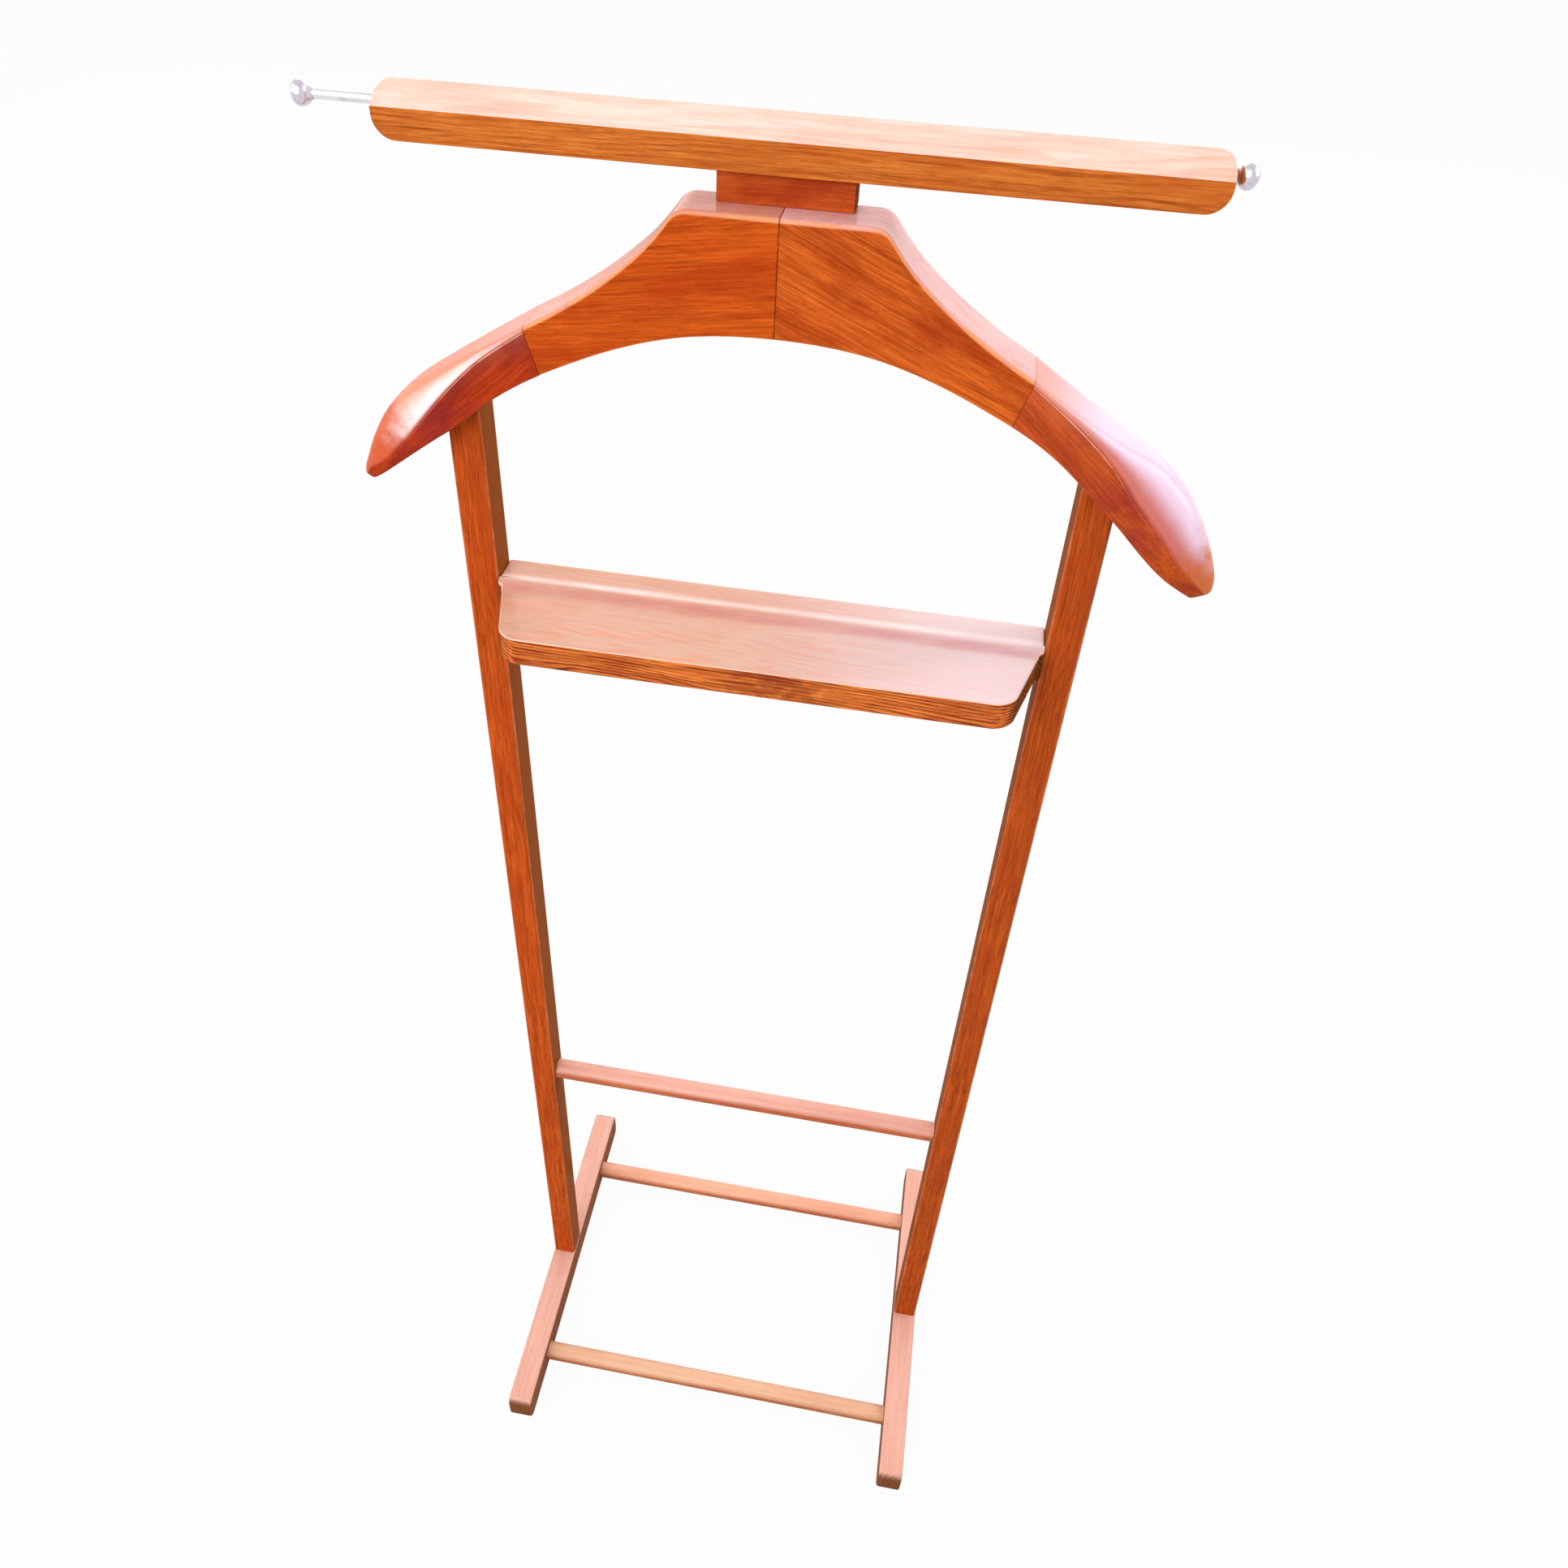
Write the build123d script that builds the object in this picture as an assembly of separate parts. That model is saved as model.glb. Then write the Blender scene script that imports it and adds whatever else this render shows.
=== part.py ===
# Wooden valet stand: two feet joined by two rails, two uprights with a cross rail and a small tray between
# them, a broad jacket hanger glued up from four pieces on top, and above it on a neck block a trouser bar
# with a sliding tie rod. Millimetres. X is to the right of someone in front of the stand, Y runs to its
# back and Z is up. The origin is on the floor under the middle of the footprint.
import os
from math import acos, cos, pi, radians, sin

from build123d import *

# Feet and the rails between them
foot_length = 310.0
foot_width = 21.0
foot_height = 30.5
foot_end_radius = 8.0
foot_edge_radius = 2.0
gap_between_feet = 320.0
foot_rail_y = 97.0
rail_diameter = 16.0
rail_tenon_diameter = 11.0
rail_tenon_length = 13.0

# Uprights
upright_width = 20.0
upright_depth = 22.0
upright_y = 4.5
upright_edge_radius = 2.5
upright_tenon_width = 12.0
upright_tenon_depth = 14.0
upright_tenon_length = 18.0
cross_rail_z = 327.5

# Tray between the uprights
tray_floor_z = 829.0
tray_thickness = 18.0
tray_ledge_rise = 4.0
tray_ledge_depth = 19.0
tray_cove_depth = 11.0
tray_front_y = -58.5
tray_front_half_width = 144.5
tray_full_width_y = -2.0
tray_corner_radius = 14.0
tray_screw_z = tray_floor_z - 9.0
tray_screw_spacing = 10.0

# Hanger, as half outlines seen from the front: (x, z)
hanger_front_y = -25.5
hanger_thickness = 32.0
hanger_top_z = 1061.5
hanger_shoulder_x = 43.0
hanger_shoulder_slope = [(53.0, 1055.5), (61.0, 1045.5), (77.0, 1030.5), (102.0, 1012.0)]
arm_joint_top = (126.5, 997.5)
arm_joint_bottom = (119.0, 974.5)
hanger_underside = [(0.0, 1004.7), (52.0, 999.5), (102.0, 981.5), (143.0, 958.5), (177.0, 930.5),
                    (197.0, 911.0), (211.0, 896.0), (222.0, 885.0), (236.0, 872.0)]
hanger_edge_radius = 2.5

# Stations along one arm: bottom (x, z), top (x, z), front y, back y, drop of the front crease,
# width of the rounded top in front, and radius of the rounded back
arm_stations = [
    ((119.0, 974.5), (126.5, 997.5), -25.5, 6.5, 2.5, 2.5, 2.5),
    ((141.0, 960.0), (153.0, 980.0), -25.5, 10.5, 4.5, 6.0, 6.0),
    ((160.0, 945.0), (177.0, 965.5), -25.5, 14.0, 10.0, 13.0, 11.0),
    ((178.0, 929.5), (198.5, 952.5), -25.5, 15.5, 19.5, 20.0, 16.0),
    ((196.0, 912.0), (217.0, 934.0), -24.0, 15.0, 21.5, 19.0, 16.0),
    ((210.0, 897.5), (231.0, 910.0), -19.5, 13.0, 18.0, 15.0, 12.0),
    ((222.0, 885.5), (238.5, 892.0), -12.5, 9.0, 13.0, 10.0, 8.0),
    ((229.5, 878.5), (240.0, 881.5), -6.5, 5.0, 7.0, 5.0, 4.0),
]
station_foot_allowance = 1.5
crease_bulge = 0.15

# Neck block and trouser bar
neck_block_width = 65.0
neck_block_front_y = -9.5
neck_block_height = 15.0
bar_length = 390.0
bar_depth = 24.0
bar_y = -1.5
bar_lower_height = 14.5
bar_roof_height = 10.0
bar_top_corner_radius = 8.0
bar_bottom_corner_radius = 11.0

# Tie rod and its knobs
rod_diameter = 5.0
rod_clearance = 0.1
rod_travel = 32.0
knob_play = 0.2
knob_diameter = 12.4
knob_length = 9.8
knob_neck_length = 1.1
knob_neck_diameter = 7.6
knob_neck_taper = 1.0
knob_outline_steps = 6
rod_stub_diameter = 3.4
rod_stub_length = 6.0

# Screws and dowels
screw_slot_width = 1.0
screw_slot_depth = 1.0
foot_screw = {"head": 9.0, "shank": 4.5, "length": 52.0}
tray_screw = {"head": 7.0, "shank": 3.8, "length": 44.0}
neck_screw = {"head": 8.5, "shank": 4.5, "length": 79.0}
foot_screw_recess = 2.0
neck_screw_spacing = 36.0
neck_screw_head_z = 1006.0
dowel_diameter = 8.0
joint_dowel_length = 36.0
centre_dowel_heights = (1021.0, 1045.0)
arm_dowel_spread = 14.0
upright_dowel_length = 36.0
upright_dowel_top_z = 953.0

# Sizes that follow from the driving ones
foot_x = gap_between_feet / 2 + foot_width / 2
upright_inner_x = foot_x - upright_width / 2
upright_outer_x = foot_x + upright_width / 2
upright_back_y = upright_y + upright_depth / 2
hanger_back_y = hanger_front_y + hanger_thickness
hanger_middle_y = hanger_front_y + hanger_thickness / 2
neck_block_depth = hanger_back_y - neck_block_front_y
bar_bottom_z = hanger_top_z + neck_block_height
bar_crease_z = bar_bottom_z + bar_lower_height
bar_top_z = bar_crease_z + bar_roof_height
rod_z = bar_crease_z
beyond = 60.0


def mirrored(solid):
    """The same piece on the other side of the stand."""
    return mirror(solid, about=Plane.YZ)


def side_face(*edges):
    """A face in the upright plane through the middle of the stand, seen from the front."""
    return make_face(Wire(list(edges)))


def at(x, z, y=0.0):
    return Vector(x, y, z)


def along_depth(face, front, back):
    """The face, drawn at y = 0, pushed out to fill the depth from front to back."""
    return extrude(face.moved(Location((0, front, 0))), amount=back - front, dir=(0, 1, 0))


def cylinder_between(start, end, diameter):
    """A round bar from one point to another."""
    start, end = Vector(*start), Vector(*end)
    section = Plane(origin=start, z_dir=end - start) * Circle(diameter / 2)
    return extrude(section, amount=(end - start).length, dir=(end - start).normalized())


def countersunk_screw(size, head_centre, direction, slotted=True):
    """A countersunk wood screw whose flat head lies at head_centre and whose tip is along direction."""
    head_radius, shank_radius = size["head"] / 2, size["shank"] / 2
    head_depth = head_radius - shank_radius
    tip_length = size["shank"]
    outline = Polyline(
        (0, 0), (head_radius, 0), (shank_radius, head_depth), (shank_radius, size["length"] - tip_length),
        (0, size["length"]), (0, 0))
    screw = revolve(make_face(outline), axis=Axis.Y)
    if slotted:
        slot = Box(size["head"], 2 * screw_slot_depth, screw_slot_width)
        screw = screw - slot
    towards = Plane(origin=head_centre, x_dir=Vector(*direction).cross(Vector(0.3, 0.5, 0.8)).normalized(),
                    z_dir=direction)
    return towards.location * Rot(90, 0, 0) * screw


# Feet
def foot():
    """The right foot: a long bar with rounded ends, mortised for its upright and bored for two rails."""
    outline = Rectangle(foot_length, foot_height)
    outline = fillet(outline.vertices(), foot_end_radius)
    bar = extrude(Plane.YZ * outline, amount=foot_width / 2, both=True)
    bar = fillet(bar.faces().filter_by(Axis.X).edges(), foot_edge_radius)
    bar = Pos(foot_x, 0, foot_height / 2) * bar
    for y in (-foot_rail_y, foot_rail_y):
        bar -= rail_socket(gap_between_feet / 2, y, foot_height / 2)
    bar -= upright_tenon()
    bar -= foot_screw_solid(slotted=False)
    bar -= cylinder_between((foot_x, upright_y, -1), (foot_x, upright_y, foot_screw_recess),
                            foot_screw["head"])
    return bar


def rail_socket(face_x, y, z):
    return cylinder_between((face_x - 1, y, z), (face_x + rail_tenon_length, y, z), rail_tenon_diameter)


def rail(face_x, y, z):
    """A round rail between two inner faces, its ends turned down to tenons."""
    body = cylinder_between((-face_x, y, z), (face_x, y, z), rail_diameter)
    reach = face_x + rail_tenon_length
    return body + cylinder_between((-reach, y, z), (reach, y, z), rail_tenon_diameter)


def foot_screw_solid(slotted=True):
    return countersunk_screw(foot_screw, (foot_x, upright_y, foot_screw_recess), (0, 0, 1), slotted)


# Uprights
def upright_tenon():
    centre_z = foot_height - upright_tenon_length / 2
    return Pos(foot_x, upright_y, centre_z) * Box(
        upright_tenon_width, upright_tenon_depth, upright_tenon_length)


def tray_screw_solids(slotted=True):
    """The two screws that go in through the right upright's outer face and hold the tray."""
    return [
        countersunk_screw(tray_screw, (upright_outer_x, upright_y + offset, tray_screw_z), (-1, 0, 0), slotted)
        for offset in (-tray_screw_spacing / 2, tray_screw_spacing / 2)]


def upright_dowel():
    return cylinder_between((foot_x, upright_y, upright_dowel_top_z - upright_dowel_length),
                            (foot_x, upright_y, upright_dowel_top_z), dowel_diameter)


def upright():
    """The right upright: rounded edges, a tenon at the foot and a top cut to the arm's underside."""
    section = Pos(foot_x, upright_y, foot_height) * RectangleRounded(
        upright_width, upright_depth, upright_edge_radius)
    post = extrude(section, amount=hanger_top_z - foot_height)
    post = post & space_under_hanger
    post = post + upright_tenon()
    post -= rail_socket(upright_inner_x, upright_y, cross_rail_z)
    post -= upright_dowel()
    post -= foot_screw_solid(slotted=False)
    for screw in tray_screw_solids(slotted=False):
        post -= screw
    return post


# Tray
def tray():
    """A shallow shelf with a raised ledge along its back, narrower in front, with round front corners."""
    front, back = tray_front_y, upright_back_y
    top, bottom = tray_floor_z, tray_floor_z - tray_thickness
    ledge_front = back - tray_ledge_depth
    cove_front = ledge_front - tray_cove_depth
    ledge_z = top + tray_ledge_rise
    profile = make_face(Wire([
        Line((0, front, bottom), (0, back, bottom)),
        Line((0, back, bottom), (0, back, ledge_z)),
        Line((0, back, ledge_z), (0, ledge_front, ledge_z)),
        Spline((0, ledge_front, ledge_z), (0, cove_front, top), tangents=((0, -1, 0), (0, -1, 0))),
        Line((0, cove_front, top), (0, front, top)),
        Line((0, front, top), (0, front, bottom))]))
    board = extrude(profile, amount=upright_inner_x, both=True, dir=(1, 0, 0))
    plan = make_face(Polyline(
        (-upright_inner_x, back), (upright_inner_x, back), (upright_inner_x, tray_full_width_y),
        (tray_front_half_width, front), (-tray_front_half_width, front),
        (-upright_inner_x, tray_full_width_y), (-upright_inner_x, back)))
    plan = fillet(plan.vertices().group_by(Axis.Y)[0], tray_corner_radius)
    board = board & extrude(Pos(0, 0, bottom) * plan, amount=2 * tray_thickness)
    for screw in tray_screw_solids(slotted=False):
        board -= screw
        board -= mirrored(screw)
    return board


# Hanger
def under_hanger():
    """All the space under the right half of the hanger, down to well below the feet."""
    first, last = hanger_underside[0], hanger_underside[-1]
    arch = Spline(*[at(*point) for point in hanger_underside], tangents=((1, 0, 0), (1, 0, -1)))
    face = side_face(arch, Line(at(*last), at(last[0], -beyond)), Line(at(last[0], -beyond), at(0, -beyond)),
                     Line(at(0, -beyond), at(*first)))
    return along_depth(face, -beyond, beyond)


def hanger_centre():
    """The right centre piece: flat front and back, a level shoulder by the neck and a hollow slope."""
    joint = Vector(arm_joint_top[0] - arm_joint_bottom[0], 0, arm_joint_top[1] - arm_joint_bottom[1])
    joint_foot = at(*arm_joint_bottom) - joint
    slope_end = hanger_shoulder_slope[0]
    shoulder = at(hanger_shoulder_x, hanger_top_z)
    face = side_face(
        Line(at(0, hanger_top_z), shoulder),
        TangentArc(shoulder, at(*slope_end), tangent=(1, 0, 0)),
        Spline(*[at(*point) for point in hanger_shoulder_slope], at(*arm_joint_top)),
        Line(at(*arm_joint_top), joint_foot),
        Line(joint_foot, at(0, joint_foot.Z)),
        Line(at(0, joint_foot.Z), at(0, hanger_top_z)))
    piece = along_depth(face, hanger_front_y, hanger_back_y)
    upper_edges = [edge for edge in piece.edges()
                   if edge.position_at(0.5).Z > arm_joint_top[1] and abs(edge.tangent_at(0.5).Y) < 0.5
                   and edge.position_at(0.5).X > 0.1]
    piece = fillet(upper_edges, hanger_edge_radius)
    piece = piece - space_under_hanger
    for dowel in centre_dowels() + arm_dowels():
        piece -= dowel
    piece -= neck_screw_solid(slotted=False)
    piece -= cylinder_between(
        (neck_screw_spacing / 2, bar_y, neck_screw_head_z - beyond),
        (neck_screw_spacing / 2, bar_y, neck_screw_head_z), neck_screw["head"])
    return piece


def arm_section(bottom, top, front, back, crease_drop, crown_width, back_radius):
    """One closed outline across the arm: flat below and in front, rounded over the top and behind."""
    low, high = at(*bottom), at(*top)
    rise = (high - low).normalized()
    height = (high - low).length

    def place(y, v):
        return low + rise * v + Vector(0, y, 0)

    below = -station_foot_allowance
    crease = place(front, height - crease_drop)
    crown = place(front + crown_width, height)
    crown_back = place(back - back_radius, height)
    shoulder_back = place(back, height - back_radius)
    bulge = (crown - crease).length * crease_bulge
    outward = Vector(0, -(height - (height - crease_drop)), 0) + rise * crown_width
    round_back = place(back - back_radius * (1 - cos(radians(45))),
                       height - back_radius * (1 - sin(radians(45))))
    edges = [
        Line(place(front, below), place(back, below)),
        Line(place(back, below), shoulder_back),
        ThreePointArc(shoulder_back, round_back, crown_back),
        Line(crown_back, crown),
        ThreePointArc(crown, (crown + crease) * 0.5 + outward.normalized() * bulge, crease),
        Line(crease, place(front, below))]
    return Wire(edges)


def hanger_arm():
    """The right arm: it broadens from the glued joint to a full rounded shoulder."""
    sections = [arm_section(*station) for station in arm_stations]
    arm = Solid.make_loft(sections)
    arm = arm - space_under_hanger
    for dowel in arm_dowels() + [upright_dowel()]:
        arm -= dowel
    return arm


def centre_dowels():
    half = joint_dowel_length / 2
    return [cylinder_between((-half, hanger_middle_y, z), (half, hanger_middle_y, z), dowel_diameter)
            for z in centre_dowel_heights]


def arm_dowels():
    """Two dowels square to the glued joint between the centre piece and the right arm."""
    middle_x = (arm_joint_top[0] + arm_joint_bottom[0]) / 2
    middle_z = (arm_joint_top[1] + arm_joint_bottom[1]) / 2
    joint = Vector(arm_joint_top[0] - arm_joint_bottom[0], 0, arm_joint_top[1] - arm_joint_bottom[1])
    reach = joint.cross(Vector(0, 1, 0)).normalized() * (joint_dowel_length / 2)
    dowels = []
    for y in (hanger_middle_y - arm_dowel_spread / 2, hanger_middle_y + arm_dowel_spread / 2):
        middle = Vector(middle_x, y, middle_z)
        dowels.append(cylinder_between(middle - reach, middle + reach, dowel_diameter))
    return dowels


# Neck block and trouser bar
def neck_screw_solid(slotted=True):
    return countersunk_screw(neck_screw, (neck_screw_spacing / 2, bar_y, neck_screw_head_z), (0, 0, 1), slotted)


def neck_block():
    block = Pos(0, neck_block_front_y + neck_block_depth / 2, hanger_top_z + neck_block_height / 2) * Box(
        neck_block_width, neck_block_depth, neck_block_height)
    screw = neck_screw_solid(slotted=False)
    return block - screw - mirrored(screw)


def trouser_bar():
    """A bar with a roof-shaped top, rounded corners at its ends and a bore for the tie rod."""
    front, back = bar_y - bar_depth / 2, bar_y + bar_depth / 2
    end_view = make_face(Polyline(
        (0, front, bar_bottom_z), (0, back, bar_bottom_z), (0, back, bar_crease_z), (0, bar_y, bar_top_z),
        (0, front, bar_crease_z), (0, front, bar_bottom_z)))
    bar = extrude(end_view, amount=bar_length / 2, both=True, dir=(1, 0, 0))
    height = bar_top_z - bar_bottom_z
    elevation = Plane.XZ * Pos(0, (bar_top_z + bar_bottom_z) / 2) * Rectangle(bar_length, height)
    upper = elevation.vertices().group_by(Axis.Z)[-1]
    elevation = fillet(upper, bar_top_corner_radius)
    lower = elevation.vertices().group_by(Axis.Z)[0]
    elevation = fillet(lower, bar_bottom_corner_radius)
    bar = bar & extrude(elevation, amount=beyond, both=True)
    bar -= cylinder_between((-bar_length, bar_y, rod_z), (bar_length, bar_y, rod_z),
                            rod_diameter + 2 * rod_clearance)
    screw = neck_screw_solid(slotted=False)
    return bar - screw - mirrored(screw)


# Tie rod
knob_right_x = bar_length / 2 + knob_play
knob_left_x = -bar_length / 2 - rod_travel - knob_play


def tie_rod():
    rod = cylinder_between((knob_left_x, bar_y, rod_z), (knob_right_x, bar_y, rod_z), rod_diameter)
    return rod + cylinder_between((knob_left_x - rod_stub_length, bar_y, rod_z),
                                  (knob_right_x + rod_stub_length, bar_y, rod_z), rod_stub_diameter)


def knob():
    """A slightly flattened ball on a short conical neck, screwed on to the rod, drawn with its neck at x = 0."""
    ball_radius, neck_radius = knob_diameter / 2, knob_neck_diameter / 2
    ball_middle = knob_neck_length + knob_length / 2
    meeting_angle = -acos(neck_radius / ball_radius)
    turns = [meeting_angle + (pi / 2 - meeting_angle) * step / knob_outline_steps
             for step in range(knob_outline_steps + 1)]
    ball = Spline(*[(ball_radius * cos(turn), ball_middle + knob_length / 2 * sin(turn)) for turn in turns],
                  tangents=((-ball_radius * sin(meeting_angle), knob_length / 2 * cos(meeting_angle)), (-1, 0)))
    bore_radius = rod_stub_diameter / 2
    rest = Polyline(ball @ 1, (0, rod_stub_length), (bore_radius, rod_stub_length), (bore_radius, 0),
                    (neck_radius - knob_neck_taper, 0), ball @ 0)
    body = revolve(make_face(Wire([ball, *rest.edges()])), axis=Axis.Y)
    return Rot(0, 0, -90) * body


def pair(solid):
    return Compound(children=[solid, mirrored(solid)])


space_under_hanger = under_hanger()
right_foot = foot()
right_upright = upright()
right_centre = hanger_centre()
right_arm = hanger_arm()
right_knob = Pos(knob_right_x, bar_y, rod_z) * knob()
left_knob = Pos(knob_left_x, bar_y, rod_z) * mirrored(knob())
right_tray_screws = tray_screw_solids()

nodes = {
    "right_foot": right_foot,
    "left_foot": mirrored(right_foot),
    "front_foot_rail": rail(gap_between_feet / 2, -foot_rail_y, foot_height / 2),
    "rear_foot_rail": rail(gap_between_feet / 2, foot_rail_y, foot_height / 2),
    "right_upright": right_upright,
    "left_upright": mirrored(right_upright),
    "cross_rail": rail(upright_inner_x, upright_y, cross_rail_z),
    "tray": tray(),
    "hanger_centre_right": right_centre,
    "hanger_centre_left": mirrored(right_centre),
    "hanger_arm_right": right_arm,
    "hanger_arm_left": mirrored(right_arm),
    "neck_block": neck_block(),
    "trouser_bar": trouser_bar(),
    "tie_rod": tie_rod(),
    "tie_rod_knob_right": right_knob,
    "tie_rod_knob_left": left_knob,
    "foot_screws": pair(foot_screw_solid()),
    "tray_screws": Compound(children=right_tray_screws + [mirrored(screw) for screw in right_tray_screws]),
    "neck_screws": pair(neck_screw_solid()),
    "upright_dowels": pair(upright_dowel()),
    "centre_joint_dowels": Compound(children=centre_dowels()),
    "arm_joint_dowels": Compound(children=arm_dowels() + [mirrored(dowel) for dowel in arm_dowels()]),
}

os.makedirs("parts", exist_ok=True)
for name, solid in nodes.items():
    export_step(solid, f"parts/{name}.step")
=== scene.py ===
"""Looks of the wooden valet stand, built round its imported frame: metres, X to the right from in front,
Y to the back, Z up. The sections follow the stand as it is put together, from the feet to the tie rod."""

from math import asin, cos, hypot, pi, radians, sin, sqrt, tan

import bmesh
import bpy
from mathutils import Matrix, Vector


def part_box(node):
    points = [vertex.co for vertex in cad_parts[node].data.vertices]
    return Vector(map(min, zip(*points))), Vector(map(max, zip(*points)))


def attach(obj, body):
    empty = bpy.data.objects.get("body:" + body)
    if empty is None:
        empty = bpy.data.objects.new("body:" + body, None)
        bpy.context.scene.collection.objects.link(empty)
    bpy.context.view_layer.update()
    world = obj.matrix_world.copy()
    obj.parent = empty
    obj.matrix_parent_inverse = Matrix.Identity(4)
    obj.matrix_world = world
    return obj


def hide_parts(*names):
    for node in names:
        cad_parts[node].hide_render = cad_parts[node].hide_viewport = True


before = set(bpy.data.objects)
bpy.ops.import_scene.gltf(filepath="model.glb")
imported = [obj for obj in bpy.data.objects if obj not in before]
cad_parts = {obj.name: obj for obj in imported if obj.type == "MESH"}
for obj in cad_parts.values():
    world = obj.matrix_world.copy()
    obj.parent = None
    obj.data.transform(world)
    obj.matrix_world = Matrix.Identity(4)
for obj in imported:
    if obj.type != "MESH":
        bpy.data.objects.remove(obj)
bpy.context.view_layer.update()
mm = 0.001


# The two feet: squared bars of beech with round ends, laid flat on the floor. Each is mortised for its
# upright and bored for the two rails, and a screw comes up through it from a recess underneath. They are
# stained like the rest of the stand, with a pink painted reflection on top and painted shade at the sides.
foot_end_radius = 8 * mm
foot_end_steps = 8
foot_edge_radius = 2 * mm
edge_steps = 3
rail_tenon_diameter = 11 * mm
rail_tenon_length = 13 * mm
post_tenon_width = 12 * mm
post_tenon_depth = 14 * mm
post_tenon_length = 18 * mm
foot_screw_head = 9 * mm
smooth_angle = radians(40)
square_angle = radians(60)
sway_width = 50
matt_roughness = 0.34
lacquer_coat = 0.06
lacquer_roughness = 0.18
lacquer_ior = 1.5
grain_depth = 0.25 * mm
grain_strength = 0.25


def blank(low, high):
    """A squared blank between two corners, in hand and in edit mode."""
    low, high = Vector(low), Vector(high)
    bpy.ops.object.select_all(action="DESELECT")
    bpy.ops.mesh.primitive_cube_add(size=1, location=(low + high) / 2, scale=high - low)
    bpy.ops.object.transform_apply(location=True, rotation=True, scale=True)
    bpy.ops.object.mode_set(mode="EDIT")


def dowel(start, end, diameter, narrow=None, sides=64):
    """A round bar from one point to another, or a cone where its far end is narrower, in edit mode."""
    start, end = Vector(start), Vector(end)
    bpy.ops.object.select_all(action="DESELECT")
    bpy.ops.mesh.primitive_cone_add(
        vertices=sides, radius1=diameter / 2, radius2=(diameter if narrow is None else narrow) / 2,
        depth=(end - start).length, location=(start + end) / 2,
        rotation=(end - start).to_track_quat("Z", "Y").to_euler())
    bpy.ops.object.transform_apply(location=True, rotation=True, scale=True)
    bpy.ops.object.mode_set(mode="EDIT")


def pick(kind, test):
    """Selects the corners, edges or faces whose middle and direction pass the test. The direction is an
    edge's run, or the normal of a corner or face."""
    bpy.ops.mesh.select_mode(type=kind)
    bpy.ops.mesh.select_all(action="DESELECT")
    shape = bmesh.from_edit_mesh(bpy.context.object.data)
    if kind == "VERT":
        chosen = [corner for corner in shape.verts if test(corner.co, corner.normal)]
    elif kind == "EDGE":
        ends = {edge: (edge.verts[0].co, edge.verts[1].co) for edge in shape.edges}
        chosen = [edge for edge, (a, b) in ends.items() if test((a + b) / 2, (b - a).normalized())]
    else:
        chosen = [face for face in shape.faces if test(face.calc_center_median(), face.normal)]
    for part in chosen:
        part.select_set(True)
    bmesh.update_edit_mesh(bpy.context.object.data)


def ease(width, steps=edge_steps):
    """Rounds the selected edges."""
    bpy.ops.mesh.bevel(offset=width, segments=steps, affect="EDGES")


def ease_sharp(width, steps=edge_steps, sharpness=smooth_angle):
    """Rounds every edge that is still sharp."""
    bpy.ops.mesh.select_mode(type="EDGE")
    bpy.ops.mesh.select_all(action="DESELECT")
    bpy.ops.mesh.edges_select_sharp(sharpness=sharpness)
    ease(width, steps)


def off_the_bench():
    """Leaves edit mode and returns the piece that was in hand."""
    bpy.ops.object.mode_set(mode="OBJECT")
    return bpy.context.object


def combine(piece, tool, operation="DIFFERENCE"):
    """Cuts the tool's shape out of the piece, or keeps only what both fill, and puts the tool away."""
    bpy.ops.object.select_all(action="DESELECT")
    bpy.context.view_layer.objects.active = piece
    piece.select_set(True)
    cut = piece.modifiers.new("cut", "BOOLEAN")
    cut.operation = operation
    cut.object = tool
    bpy.ops.object.modifier_apply(modifier=cut.name)
    bpy.data.objects.remove(tool)


def bore(piece, start, end, diameter, narrow=None):
    dowel(start, end, diameter, narrow)
    combine(piece, off_the_bench())


def fit(piece, name, finish, body="stand"):
    """Gives a finished piece its shading and its material, hides the frame's part that it stands for, and
    hangs it on its body.
    """
    bpy.ops.object.select_all(action="DESELECT")
    bpy.context.view_layer.objects.active = piece
    piece.select_set(True)
    piece.name = piece.data.name = name
    bpy.ops.object.shade_smooth_by_angle(angle=smooth_angle)
    even = piece.modifiers.new("even", "WEIGHTED_NORMAL")
    even.keep_sharp = True
    bpy.ops.object.modifier_apply(modifier=even.name)
    piece.data.materials.clear()
    piece.data.materials.append(finish)
    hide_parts(name)
    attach(piece, body)


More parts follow.
